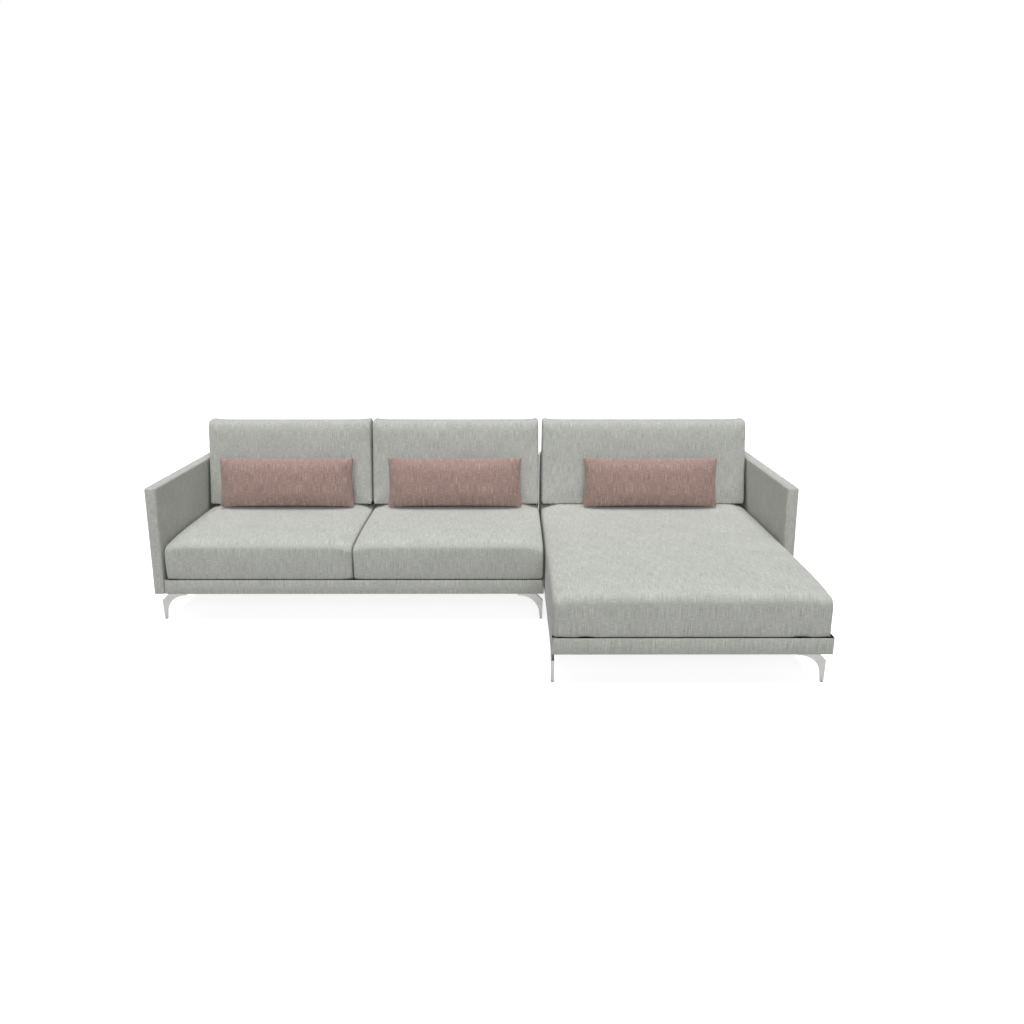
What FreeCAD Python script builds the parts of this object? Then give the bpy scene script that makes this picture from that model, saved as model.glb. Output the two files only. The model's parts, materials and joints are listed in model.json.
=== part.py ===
import FreeCAD, Part
import math
import os

# Sectional sofa with chaise. Millimetres, +Z up, the front faces -Y, +X is to the right as seen
# from the front. The origin is at floor level, in the middle of the outline seen from above.

# Outline of the two modules, seen from above
overall_width = 2980.0
sofa_depth = 900.0
chaise_reach = 673.0
chaise_width = 1153.0
module_gap = 4.0

# Heights above the floor
base_underside = 150.0
base_height = 68.0
seat_thickness = 200.0
arm_height = 660.0
back_cushion_top = 862.0

# Arms: a straight outer face, and an inner face that leans in towards the floor
arm_thickness_low = 42.0
arm_thickness_top = 55.0
arm_edge_radius = 10.0
arm_window_count = 3
arm_window_corner = 30.0
arm_post = 75.0

# Low upholstered back: its front leans, its rear is upright
back_thickness_top = 84.0
back_lean = 3.0
back_edge_radius = 12.0
back_post = 60.0
back_window_width = 240.0

# Upholstery layers
cover_thickness = 2.0
arm_padding_thickness = 10.0
back_padding_thickness = 14.0
soft_gap = 0.6
seat_rest = 0.3
side_gap = 0.5

# Base frame
rail_thickness = 25.0
base_edge_radius = 10.0
cover_lip = 24.0
deck_thickness = 6.0
strap_thickness = 2.0
strap_width = 50.0
strap_pitch = 115.0
strap_pitch_across = 172.5
corner_block_side = 150.0
corner_block_cut = 60.0
dust_cover_thickness = 1.0
dust_cover_margin = 8.0
dust_cover_clearance = 2.0

# Seat cushions
seat_seam_x = -561.0
seat_cushion_gap = 2.0
seat_front_drop = 16.0
seat_front_bulge = 7.0
seat_front_radius = 34.0
seat_rear_radius = 18.0
seat_end_drop = 24.0
seat_end_draw = 16.0
seat_crown_share = 0.42
seat_near = 30.0
seat_near_draw = 0.35
seat_far = 110.0

# Back cushions
back_cushion_low = 180.0
back_cushion_high = 130.0
back_cushion_crown = 13.0
back_cushion_top_round = 34.0
back_cushion_foot_round = 26.0
back_cushion_end_draw = 22.0
back_cushion_ease = 150.0
back_cushion_arm_gap = 5.0
back_cushion_gap = 3.0
back_cushion_joint_gap = 13.0

# Lumbar cushions
lumbar_width = 700.0
lumbar_height = 250.0
lumbar_thickness = 116.0
lumbar_lean = 10.0
lumbar_seam_width = 3.0
lumbar_end_thickness = 14.0
lumbar_shift_chaise = 24.0
lumbar_ease = 200.0

# Cast feet, in the plane of the blade: u runs inwards from the outer edge, h up from the floor
foot_blade = 13.0
foot_setback = 63.0
foot_side_inset = 2.0
foot_shoulder_height = 95.0
foot_tip_width = 11.0
foot_tip_inset = 3.0
foot_arc_start = (18.0, 40.0)
foot_arc_middle = (44.0, 90.0)
foot_arc_end = (115.0, 118.0)
foot_plate_start = 46.0
foot_plate_end = 150.0
foot_plate_width = 56.0
foot_plate_thickness = 6.0
foot_edge_bevel = 2.0
foot_rib_place = 64.0
foot_rib_thickness = 10.0
foot_rib_height = 44.0
foot_rib_reach = 32.0
glide_thickness = 3.0
glide_corner = 2.5

# Bolts: under the feet, through the connector plates and into the arms
bolt_radius = 4.0
bolt_clearance = 0.3
bolt_head_flats = 13.0
bolt_head_height = 5.3
bolt_length = 45.0
foot_bolt_place = 104.0
foot_bolt_across = 34.0
arm_bolt_margin = 200.0

# Cleats on the arm panels, which meet the side rails through the padding and the fabric
cleat_length = 120.0
cleat_rim = 8.0
cleat_clearance = 1.0

# Plates that join the two modules, under the base
plate_width = 66.0
plate_length = 110.0
plate_thickness = 4.0
plate_corner = 10.0
plate_margin_front = 190.0
plate_margin_rear = 290.0

# Places worked out from the sizes above
x_left = -overall_width / 2
x_right = overall_width / 2
y_rear = (sofa_depth + chaise_reach + seat_front_bulge) / 2
y_sofa = y_rear - sofa_depth
y_chaise = y_sofa - chaise_reach
x_chaise = x_right - chaise_width
x_sofa = x_chaise - module_gap
z_deck = base_underside + base_height
z_seat = z_deck + seat_thickness
rail_top = z_deck - deck_thickness - 2 * strap_thickness

# Inner corners are cut flat by this share of the radius outside them
corner_cut_share = 0.6

# The side face of each base stands this far in from the arm's outer face
arm_slope = (arm_thickness_top - arm_thickness_low) / (arm_height - base_underside)
base_inset = arm_thickness_low + arm_slope * base_height + seat_rest

O = FreeCAD.Vector(0, 0, 0)
X = FreeCAD.Vector(1, 0, 0)
Y = FreeCAD.Vector(0, 1, 0)
Z = FreeCAD.Vector(0, 0, 1)


def box(x0, x1, y0, y1, z0, z1):
    return Part.makeBox(x1 - x0, y1 - y0, z1 - z0, FreeCAD.Vector(x0, y0, z0))


def bar(flats, sides, length, foot, direction=Z):
    """A straight bar with flat sides, measured across its flats."""
    corner = flats / 2 / math.cos(math.pi / sides)
    turns = [math.pi * (2 * k + 1) / sides for k in range(sides)]
    ring = [FreeCAD.Vector(corner * math.cos(a), corner * math.sin(a), 0) for a in turns]
    solid = Part.Face(Part.makePolygon(ring + ring[:1])).extrude(Z * length)
    solid.Placement = FreeCAD.Placement(foot, FreeCAD.Rotation(Z, direction))
    return solid


def rounded_prism(x0, x1, y0, y1, z0, z1, radius):
    """A box with its upright edges rounded."""
    block = box(x0, x1, y0, y1, z0, z1)
    upright = [e for e in block.Edges if abs(e.tangentAt(e.FirstParameter).z) > 0.9]
    return block.makeFillet(radius, upright)


def cornered_prism(x0, x1, y0, y1, z0, z1, cut):
    """A box with its upright edges cut flat."""
    outline = [
        (x0 + cut, y0),
        (x1 - cut, y0),
        (x1, y0 + cut),
        (x1, y1 - cut),
        (x1 - cut, y1),
        (x0 + cut, y1),
        (x0, y1 - cut),
        (x0, y0 + cut),
    ]
    corners = [FreeCAD.Vector(x, y, z0) for x, y in outline]
    return Part.Face(Part.makePolygon(corners + corners[:1])).extrude(Z * (z1 - z0))


def soften(body, bottom, radius, inset):
    """Rounds a body's edges above its underside, or cuts them flat where it lies inside another."""
    raised = [e for e in body.Edges if e.BoundBox.ZMax > bottom + radius]
    if inset > 0:
        return body.makeChamfer(corner_cut_share * (radius - inset), raised)
    return body.makeFillet(radius, raised)


def closed_wire(place, first, *steps, straight=False):
    """A closed outline. A step is the end of a straight line, or the middle and end of an arc.

    When it is to be straight, two chords take the place of each arc."""
    edges = []
    here = first
    for step in steps:
        if not isinstance(step[0], tuple):
            points = [step]
        elif straight:
            points = list(step)
        else:
            edges.append(Part.Arc(place(*here), place(*step[0]), place(*step[1])).toShape())
            points = []
            here = step[1]
        for point in points:
            edges.append(Part.LineSegment(place(*here), place(*point)).toShape())
            here = point
    if here != first:
        edges.append(Part.LineSegment(place(*here), place(*first)).toShape())
    return Part.Wire(edges)


def side_view(x):
    """Places a point of an outline seen from the side, at x."""
    return lambda y, z: FreeCAD.Vector(x, y, z)


def front_view(y):
    """Places a point of an outline seen from the front, at y."""
    return lambda x, z: FreeCAD.Vector(x, y, z)


def arm_inner(z):
    """How far the arm's inner face stands from its outer face, at a height."""
    return arm_thickness_low + arm_slope * (z - base_underside)


def back_front(z):
    """Where the front face of the low back is, at a height."""
    return y_rear - back_thickness_top - (arm_height - z) * math.tan(math.radians(back_lean))


def cushion_rear(z):
    """The back cushions' rear face, which leans on the low back and goes on above it."""
    return back_front(z) - side_gap


def cushion_front(z):
    """The back cushions' front face before its crown, at a height."""
    share = (z - z_seat) / (back_cushion_top - z_seat)
    return cushion_rear(z) - back_cushion_low + share * (back_cushion_low - back_cushion_high)


# Arms


def arm_body(inset, bottom):
    """The left arm's outline drawn in by inset on every side but its underside."""
    inner_foot = arm_inner(bottom) - inset
    inner_top = arm_inner(arm_height) - inset
    top = arm_height - inset
    wire = closed_wire(
        front_view(y_sofa + inset),
        (x_left + inset, bottom),
        (x_left + inner_foot, bottom),
        (x_left + inner_top, top),
        (x_left + inset, top),
    )
    body = Part.Face(wire).extrude(Y * (sofa_depth - 2 * inset))
    if inset < arm_edge_radius:
        body = soften(body, bottom, arm_edge_radius, inset)
    return body


def arm_panel_windows(panel, inset):
    """Three openings that lighten the panel, with posts between them."""
    count = arm_window_count
    post = arm_post
    low = z_deck + post / 2
    high = arm_height - inset - post
    corner = arm_window_corner
    width = (sofa_depth - 2 * inset - (count + 1) * post) / count
    for index in range(count):
        y0 = y_sofa + inset + post + index * (width + post)
        y1 = y0 + width
        wire = closed_wire(
            side_view(x_left),
            (y0 + corner, low),
            (y1 - corner, low),
            (y1, low + corner),
            (y1, high - corner),
            (y1 - corner, high),
            (y0 + corner, high),
            (y0, high - corner),
            (y0, low + corner),
        )
        panel = panel.cut(Part.Face(wire).extrude(X * arm_thickness_top))
    return panel


def cleat_places():
    """Where along the arm its two cleats are, each with a bolt through its middle."""
    return [y_sofa + arm_bolt_margin, y_rear - arm_bolt_margin]


def arm_cleats(x0, clearance):
    """The cleats on the panel's inner side, up to the base's side rail."""
    x1 = x_left + base_inset + cover_thickness
    low = base_underside + cleat_rim - clearance
    high = rail_top - cleat_rim + clearance
    half = cleat_length / 2 + clearance
    return [box(x0, x1, y - half, y + half, low, high) for y in cleat_places()]


def arm_bolt_holes():
    """Holes for the bolts through the side rail and into the cleat and the panel."""
    end = x_left + base_inset + cover_thickness + rail_thickness
    z = (base_underside + rail_top) / 2
    length = bolt_length + 1
    places = [FreeCAD.Vector(end - length, y, z) for y in cleat_places()]
    return Part.makeCompound([bolt_hole(length + 1, place, X) for place in places])


def arm_parts():
    """The left arm: a panel, the foam round it and the fabric, both open at the underside."""
    bottom = base_underside
    skin = arm_body(0, bottom).cut(arm_body(cover_thickness, bottom - 1))
    wrap = cover_thickness + soft_gap
    core = wrap + arm_padding_thickness
    padding = arm_body(wrap, bottom).cut(arm_body(core, bottom - 1))
    inset = core + soft_gap
    middle = x_left + arm_thickness_low / 2
    panel = arm_panel_windows(arm_body(inset, bottom), inset).fuse(arm_cleats(middle, 0))
    windows = arm_cleats(middle, cleat_clearance)
    return skin.cut(windows), padding.cut(windows), panel.cut(arm_bolt_holes()).removeSplitter()


def arm_bolts():
    """Bolts from inside the base, through the side rail into the left arm's cleats."""
    head = x_left + base_inset + cover_thickness + rail_thickness
    z = (base_underside + rail_top) / 2
    return [bolt(FreeCAD.Vector(head, y, z), X) for y in cleat_places()]


def mirrored(shape):
    """The right arm's pieces are the left arm's, the other way round."""
    return shape.mirror(O, X)


# Fasteners


def bolt(seat, outward):
    """A bolt whose head sits on the seat point and stands outward, with its shank the other way.

    Its shank and the holes for it have eight sides, which keeps so many small pieces light."""
    head = bar(bolt_head_flats, 6, bolt_head_height, O)
    shank = bar(2 * bolt_radius, 8, bolt_length, O, Z * -1)
    whole = head.fuse(shank).removeSplitter().Solids[0]
    whole.Placement = FreeCAD.Placement(seat, FreeCAD.Rotation(Z, outward))
    return whole


def bolt_hole(length, foot, direction=Z):
    return bar(2 * (bolt_radius + bolt_clearance), 8, length, foot, direction)


# Cast feet


def foot_blade_outline():
    """The blade in its own plane: a slim tip, a shoulder, and one big arc along its inner edge."""
    tip_in = foot_tip_inset + foot_tip_width
    rise = base_underside - foot_shoulder_height
    return closed_wire(
        front_view(0),
        (foot_tip_inset, glide_thickness),
        (tip_in, glide_thickness),
        foot_arc_start,
        (foot_arc_middle, foot_arc_end),
        (foot_plate_end, base_underside - foot_plate_thickness),
        (foot_plate_end, base_underside),
        (rise, base_underside),
        (0, foot_shoulder_height),
    )


def foot_casting():
    """One foot in its own axes: u along X, across the blade along Y."""
    blade = Part.Face(foot_blade_outline()).extrude(Y * foot_blade)
    plate_low = base_underside - foot_plate_thickness
    shoulder = [
        e
        for e in blade.Edges
        if abs(e.BoundBox.ZMin - foot_shoulder_height) < 1e-6 and e.BoundBox.XLength > foot_tip_width
    ]
    blade = blade.makeChamfer(foot_edge_bevel, shoulder)
    plate = box(
        foot_plate_start, foot_plate_end, 0, foot_plate_width, plate_low, base_underside
    )
    rib = Part.Face(
        closed_wire(
            side_view(foot_rib_place),
            (foot_blade, plate_low),
            (foot_blade, plate_low - foot_rib_height / 2),
            (
                (foot_blade + foot_rib_reach * 0.3, plate_low - foot_rib_height * 0.2),
                (foot_blade + foot_rib_reach, plate_low),
            ),
        )
    ).extrude(X * foot_rib_thickness)
    casting = blade.fuse([plate, rib])
    foot = FreeCAD.Vector(foot_bolt_place, foot_bolt_across, plate_low - 1)
    return casting.cut(bolt_hole(foot_plate_thickness + 2, foot)).removeSplitter().Solids[0]


def glide_pad():
    """The plastic pad under a foot's tip."""
    tip_in = foot_tip_inset + foot_tip_width
    return cornered_prism(
        foot_tip_inset, tip_in, 0, foot_blade, 0, glide_thickness, glide_corner
    )


def foot_corners():
    """Where each foot stands: its outer corner, the way its blade runs and the side of its plate."""
    side = foot_side_inset
    front = y_sofa + foot_setback
    rear = y_rear - foot_setback
    nose = y_chaise + foot_setback
    return {
        "sofa_foot_front_left": (x_left + side, front, (1, 0), (0, 1)),
        "sofa_foot_front_right": (x_sofa - side, front, (-1, 0), (0, 1)),
        "sofa_foot_rear_left": (x_left + side, rear, (1, 0), (0, -1)),
        "sofa_foot_rear_right": (x_sofa - side, rear, (-1, 0), (0, -1)),
        "chaise_foot_front_left": (x_chaise + side, nose, (0, 1), (1, 0)),
        "chaise_foot_front_right": (x_right - base_inset - side, nose, (-1, 0), (0, 1)),
        "chaise_foot_rear_left": (x_chaise + side, rear, (0, -1), (1, 0)),
        "chaise_foot_rear_right": (x_right - side, rear, (-1, 0), (0, -1)),
    }


def placed(shape, corner):
    """Turns and mirrors a shape from a foot's own axes to its corner."""
    x, y, along, across = corner
    shape = shape.copy()
    if along[0] == 0:
        shape = shape.mirror(O, FreeCAD.Vector(1, -1, 0))
        sign_x, sign_y = across[0], along[1]
    else:
        sign_x, sign_y = along[0], across[1]
    if sign_x < 0:
        shape = shape.mirror(O, X)
    if sign_y < 0:
        shape = shape.mirror(O, Y)
    shape.translate(FreeCAD.Vector(x, y, 0))
    return shape


def foot_bolt():
    """The bolt of one foot, in the foot's own axes."""
    seat = base_underside - foot_plate_thickness
    return bolt(FreeCAD.Vector(foot_bolt_place, foot_bolt_across, seat), Z * -1)


def foot_bolt_hole():
    """Room for that bolt in the corner block above the plate."""
    foot = FreeCAD.Vector(foot_bolt_place, foot_bolt_across, base_underside - 1)
    return bolt_hole(base_height, foot)


def foot_plate_room():
    """Room for a foot's plate in the dust cover."""
    gap = dust_cover_clearance
    return box(
        foot_plate_start - gap,
        foot_plate_end + gap,
        -gap,
        foot_plate_width + gap,
        base_underside - foot_plate_thickness,
        base_underside + 1,
    )


# Connector plates between the modules


def plate_centres():
    """The front plate and the rear plate, on the line where the modules meet."""
    x = (x_sofa + x_chaise) / 2
    return [(x, y_sofa + plate_margin_front), (x, y_rear - plate_margin_rear)]


def plate_bolt_places():
    """One bolt in each module's side rail, at each plate."""
    reach = module_gap / 2 + cover_thickness + rail_thickness / 2
    return [(x + side * reach, y) for x, y in plate_centres() for side in (-1, 1)]


def connector_plates():
    low = base_underside - plate_thickness
    holes = [
        bolt_hole(plate_thickness + 2, FreeCAD.Vector(x, y, low - 1))
        for x, y in plate_bolt_places()
    ]
    plates = []
    for x, y in plate_centres():
        x0 = x - plate_width / 2
        y0 = y - plate_length / 2
        plate = cornered_prism(
            x0, x0 + plate_width, y0, y0 + plate_length, low, base_underside, plate_corner
        )
        plates.append(plate.cut(Part.makeCompound(holes)))
    return plates


def connector_bolts():
    low = base_underside - plate_thickness
    return [bolt(FreeCAD.Vector(x, y, low), Z * -1) for x, y in plate_bolt_places()]


def connector_holes():
    """Room for those bolts in the side rails."""
    feet = [FreeCAD.Vector(x, y, base_underside - 1) for x, y in plate_bolt_places()]
    return Part.makeCompound([bolt_hole(base_height, foot) for foot in feet])


def connector_snips():
    """The places where the fabric's lip is snipped round those bolts."""
    half = bolt_radius + 3 * cover_thickness
    low = base_underside - 1
    high = base_underside + cover_thickness + 1
    places = plate_bolt_places()
    return [box(x - half, x + half, y - half, y + half, low, high) for x, y in places]


def connector_plate_room():
    """Room for the plates in the dust covers."""
    gap = dust_cover_clearance
    rooms = []
    for x, y in plate_centres():
        half_x = plate_width / 2 + gap
        half_y = plate_length / 2 + gap
        low = base_underside - plate_thickness
        rooms.append(box(x - half_x, x + half_x, y - half_y, y + half_y, low, base_underside + 1))
    return rooms


# Base of one module


def base_inside(x0, x1, y0, y1, z0, z1):
    """The space inside the base's fabric, with its rounded corners."""
    skin = cover_thickness
    cut = corner_cut_share * (base_edge_radius - skin)
    return cornered_prism(x0 + skin, x1 - skin, y0 + skin, y1 - skin, z0, z1, cut)


def base_rails(x0, x1, y0, y1):
    """The timber frame's four sides: the front rail, the rear rail and the two side rails."""
    skin = cover_thickness
    rail = rail_thickness
    low = base_underside + skin
    inside = base_inside(x0, x1, y0, y1, low, z_deck)
    front = box(x0 + skin, x1 - skin, y0 + skin, y0 + skin + rail, low, rail_top)
    rear = box(x0 + skin, x1 - skin, y1 - skin - rail, y1 - skin, low, z_deck)
    y_in = y0 + skin + rail
    y_out = y1 - skin - rail
    sides = [
        box(x0 + skin, x0 + skin + rail, y_in, y_out, low, rail_top),
        box(x1 - skin - rail, x1 - skin, y_in, y_out, low, rail_top),
    ]
    return front.common(inside), rear.common(inside), sides


def cross_rails(x0, x1, y0, centre_at, cross_at):
    """Rails inside the frame: two under the low back's front, and the module's own."""
    edge = cover_thickness + rail_thickness
    low = base_underside + cover_thickness
    x_in = x0 + edge
    x_out = x1 - edge
    deck_rail = back_front(z_deck) - rail_thickness
    side = corner_block_side
    rails = [
        box(x_in + side, x_out - side, deck_rail, back_front(z_deck), low, rail_top),
        box(
            x_in + side,
            x_out - side,
            back_front(z_deck),
            back_front(z_deck) + rail_thickness,
            low,
            z_deck,
        ),
    ]
    for x in centre_at:
        half = rail_thickness / 2
        rails.append(box(x - half, x + half, y0 + edge, deck_rail, low, rail_top))
    for y in cross_at:
        rails.append(box(x_in, x_out, y - rail_thickness, y, low, rail_top))
    return rails


def corner_blocks(x0, x1, y0, y1):
    """Blocks in the base's corners, which take the bolts of the feet."""
    edge = cover_thickness + rail_thickness
    side = corner_block_side
    cut = corner_block_cut
    height = rail_top - base_underside
    outline = [(0, 0), (side, 0), (side, side - cut), (side - cut, side), (0, side)]
    blocks = []
    for x, y, sx, sy in (
        (x0 + edge, y0 + edge, 1, 1),
        (x1 - edge, y0 + edge, -1, 1),
        (x0 + edge, y1 - edge, 1, -1),
        (x1 - edge, y1 - edge, -1, -1),
    ):
        corners = [FreeCAD.Vector(x + sx * a, y + sy * b, base_underside) for a, b in outline]
        blocks.append(Part.Face(Part.makePolygon(corners + corners[:1])).extrude(Z * height))
    return blocks


def base_cover(x0, x1, y0, y1):
    """The fabric round the base: four sides with a lip turned under the rails."""
    low = base_underside
    outer = rounded_prism(x0, x1, y0, y1, low, z_deck, base_edge_radius)
    inside = base_inside(x0, x1, y0, y1, low + cover_thickness, z_deck + 1)
    lip = cover_lip
    mouth = box(x0 + lip, x1 - lip, y0 + lip, y1 - lip, low - 1, z_deck)
    return outer.cut(inside).cut(mouth)


def dust_cover(x0, x1, y0, y1):
    """The thin cloth that closes the underside."""
    edge = dust_cover_margin
    low = base_underside - dust_cover_thickness
    return box(x0 + edge, x1 - edge, y0 + edge, y1 - edge, low, base_underside)


def deck_pad(x0, x1, y0, y1):
    """The felt over the webbing, which the seat cushions lie on."""
    low = z_deck - deck_thickness
    inside = base_inside(x0, x1, y0, y1, low, z_deck)
    return inside.common(box(x0, x1, y0, back_front(z_deck), low, z_deck))


def webbing(x0, x1, y0, y1):
    """Straps from front to rear over the rails, with straps from side to side on top of them."""
    edge = cover_thickness + rail_thickness / 4
    rear = back_front(z_deck) - rail_thickness / 4
    straps = []
    width = x1 - x0 - 2 * edge
    count = int(width // strap_pitch)
    step = (width - strap_width) / (count - 1)
    for index in range(count):
        x = x0 + edge + index * step
        straps.append(box(x, x + strap_width, y0 + edge, rear, rail_top, rail_top + strap_thickness))
    depth = rear - y0 - 2 * edge
    count = int(depth // strap_pitch_across)
    step = (depth - strap_width) / (count - 1)
    low = rail_top + strap_thickness
    for index in range(count):
        y = y0 + edge + index * step
        straps.append(box(x0 + edge, x1 - edge, y, y + strap_width, low, low + strap_thickness))
    return straps


# Low back of one module


def back_body(x0, x1, inset, bottom):
    """The low back's outline drawn in by inset on every side but its underside."""
    top = arm_height - inset
    wire = closed_wire(
        side_view(x0 + inset),
        (back_front(bottom) + inset, bottom),
        (y_rear - inset, bottom),
        (y_rear - inset, top),
        (back_front(top) + inset, top),
    )
    body = Part.Face(wire).extrude(X * (x1 - x0 - 2 * inset))
    if inset < back_edge_radius:
        body = soften(body, bottom, back_edge_radius, inset)
    return body


def back_frame_windows(frame, x0, x1, inset):
    """Openings through the back's timber frame, which leave posts and two rails."""
    post = back_post
    low = z_deck + post
    high = arm_height - inset - post
    length = x1 - x0 - 2 * inset
    count = int((length - post) // (back_window_width + post))
    width = (length - (count + 1) * post) / count
    for index in range(count):
        start = x0 + inset + post + index * (width + post)
        frame = frame.cut(box(start, start + width, back_front(z_deck), y_rear, low, high))
    return frame


def back_parts(x0, x1):
    """The low back of a module: timber frame, foam round it and fabric."""
    skin = back_body(x0, x1, 0, z_deck).cut(back_body(x0, x1, cover_thickness, z_deck - 1))
    wrap = cover_thickness + soft_gap
    core = wrap + back_padding_thickness
    padding = back_body(x0, x1, wrap, z_deck).cut(back_body(x0, x1, core, z_deck - 1))
    inset = core + soft_gap
    frame = back_frame_windows(back_body(x0, x1, inset, z_deck), x0, x1, inset)
    return skin, padding, frame


# Cushions


def loft(sections):
    return Part.makeLoft(sections, True, True).Solids[0]


def seat_section(x, y_front, draw, inset):
    """Side view of a seat cushion: a crowned front, a rounded edge, and a top that rises to flat."""
    low = z_deck + inset
    top = z_seat - draw * seat_end_drop - inset
    edge = top - seat_front_drop
    face = y_front + draw * seat_end_draw + inset
    radius = seat_front_radius - inset
    rear_radius = seat_rear_radius - inset
    shoulder = edge - radius
    flat = y_front + seat_crown_share * (cushion_front(z_seat) - y_front)
    rear = cushion_rear(top - rear_radius) - inset
    cut = 1 - math.sqrt(0.5)
    return closed_wire(
        side_view(x),
        (cushion_rear(low) - inset, low),
        (face, low),
        ((face - seat_front_bulge, (low + shoulder) / 2), (face, shoulder)),
        ((face + cut * radius, edge - cut * radius), (face + radius, edge)),
        (((face + radius + flat) / 2, edge + 0.75 * seat_front_drop), (flat, top)),
        (rear - rear_radius, top),
        (rear, top - rear_radius),
        straight=inset > 0,
    )


def seat_cushion(x0, x1, y_front, inset):
    """A loft along X through side views that are drawn in towards the ends."""
    left = [(x0 + inset, 1.0), (x0 + seat_near, seat_near_draw), (x0 + seat_far, 0.0)]
    right = [(x1 - seat_far, 0.0), (x1 - seat_near, seat_near_draw), (x1 - inset, 1.0)]
    return loft([seat_section(x, y_front, draw, inset) for x, draw in left + right])


def eased(run, fall):
    """The middle of an arc that leaves a straight line smoothly and falls by fall over run."""
    radius = (run**2 + fall**2) / (2 * fall)
    half = math.asin(run / radius) / 2
    return radius * math.sin(half), radius * (1 - math.cos(half))


def eased_outline(place, x0, x1, reach, run, fall, rear, straight):
    """An outline from above whose front falls back towards both ends, and its rear too if asked.

    It is reach deep in front of its middle line, and a rear of None repeats the front."""
    mid_run, mid_fall = eased(run, fall)
    steps = [
        (x1 - run, -reach),
        ((x1 - run + mid_run, mid_fall - reach), (x1, fall - reach)),
    ]
    if rear is None:
        steps += [
            (x1, reach - fall),
            ((x1 - run + mid_run, reach - mid_fall), (x1 - run, reach)),
            (x0 + run, reach),
            ((x0 + run - mid_run, reach - mid_fall), (x0, reach - fall)),
        ]
    else:
        steps += [(x1, rear), (x0, rear)]
    steps += [
        (x0, fall - reach),
        ((x0 + run - mid_run, mid_fall - reach), (x0 + run, -reach)),
    ]
    return closed_wire(place, (x0 + run, -reach), *steps, straight=straight)


def back_side(x, inset):
    """Side view of a back cushion: flat foot and rear, crowned front and a rounded top."""
    foot = z_seat + seat_rest + inset
    top = back_cushion_top - inset
    shoulder = top - back_cushion_top_round
    knee = foot + back_cushion_foot_round
    middle = (knee + shoulder) / 2
    front = cushion_front(middle) + inset - back_cushion_crown
    return closed_wire(
        side_view(x),
        (cushion_front(foot) + inset + back_cushion_foot_round, foot),
        (cushion_rear(foot) - inset, foot),
        (cushion_rear(shoulder) - inset, shoulder),
        (
            ((cushion_front(shoulder) + cushion_rear(shoulder)) / 2, top),
            (cushion_front(shoulder) + inset, shoulder),
        ),
        ((front, middle), (cushion_front(knee) + inset, knee)),
        straight=inset > 0,
    )


def back_cushion(x0, x1, inset):
    """Where its side view meets its view from above, whose front falls back at the ends."""
    side = loft([back_side(x, inset) for x in (x0 + inset, x1 - inset)])
    reach = back_cushion_crown - inset
    fall = back_cushion_crown + back_cushion_end_draw
    above = []
    for z in (z_seat, back_cushion_top + seat_rest):
        line = cushion_front(z)
        rear = cushion_rear(z) - line + side_gap
        above.append(
            eased_outline(
                lambda x, y: FreeCAD.Vector(x, line + y, z),
                x0 + inset,
                x1 - inset,
                reach,
                back_cushion_ease,
                fall,
                rear,
                inset > 0,
            )
        )
    return side.common(loft(above)).removeSplitter().Solids[0]


def lumbar_cushion(inset):
    """Upright about its own middle: arcs seen from its end, which meet at seams, cross its plan."""
    high = lumbar_height / 2 - 1.5 * inset
    belly = lumbar_thickness / 2 - inset
    seam = lumbar_seam_width - inset / 2
    half = lumbar_width / 2 - inset
    ends = [
        closed_wire(
            side_view(x),
            (seam, -high),
            ((belly, 0), (seam, high)),
            (-seam, high),
            ((-belly, 0), (-seam, -high)),
            straight=inset > 0,
        )
        for x in (-half, half)
    ]
    above = [
        eased_outline(
            lambda x, across: FreeCAD.Vector(x, across, up),
            -half,
            half,
            belly,
            lumbar_ease,
            (lumbar_thickness - lumbar_end_thickness) / 2,
            None,
            inset > 0,
        )
        for up in (-lumbar_height, lumbar_height)
    ]
    return loft(ends).common(loft(above)).removeSplitter().Solids[0]


def leaning(cushion, x, y):
    """An upright lumbar cushion, leant back and stood on the seat."""
    lean = math.radians(lumbar_lean)
    rise = lumbar_height / 2 * math.cos(lean) + lumbar_seam_width * math.sin(lean)
    place = FreeCAD.Vector(x, y, z_seat + seat_rest + rise)
    cushion = cushion.copy()
    cushion.Placement = FreeCAD.Placement(place, FreeCAD.Rotation(X, -lumbar_lean))
    return cushion


def shell_and_core(cushion):
    """A cushion's cover and the filling inside it, from a function of the inset."""
    cover = cushion(0).cut(cushion(cover_thickness))
    return cover.Solids[0], cushion(cover_thickness + soft_gap)


def lumbar_against(cushion, back, x):
    """Where a lumbar cushion stands on the seat, so that it just leans on its back cushion."""
    y = cushion_front(z_seat) - lumbar_thickness / 2 - back_cushion_crown
    for _ in range(3):
        gap = leaning(cushion, x, y).distToShape(back)[0]
        y += (gap - side_gap) / math.cos(math.radians(lumbar_lean))
    return y


def save(name, shapes):
    if not isinstance(shapes, list):
        shapes = [shapes]
    solids = [solid for shape in shapes for solid in shape.Solids]
    for solid in solids:
        if not solid.isValid():
            print("not valid:", name)
    Part.makeCompound(solids).exportStep(os.path.join("parts", name + ".step"))
    print(name, len(solids), "solids", round(sum(s.Volume for s in solids) / 1e6, 3), "litres")


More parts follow.
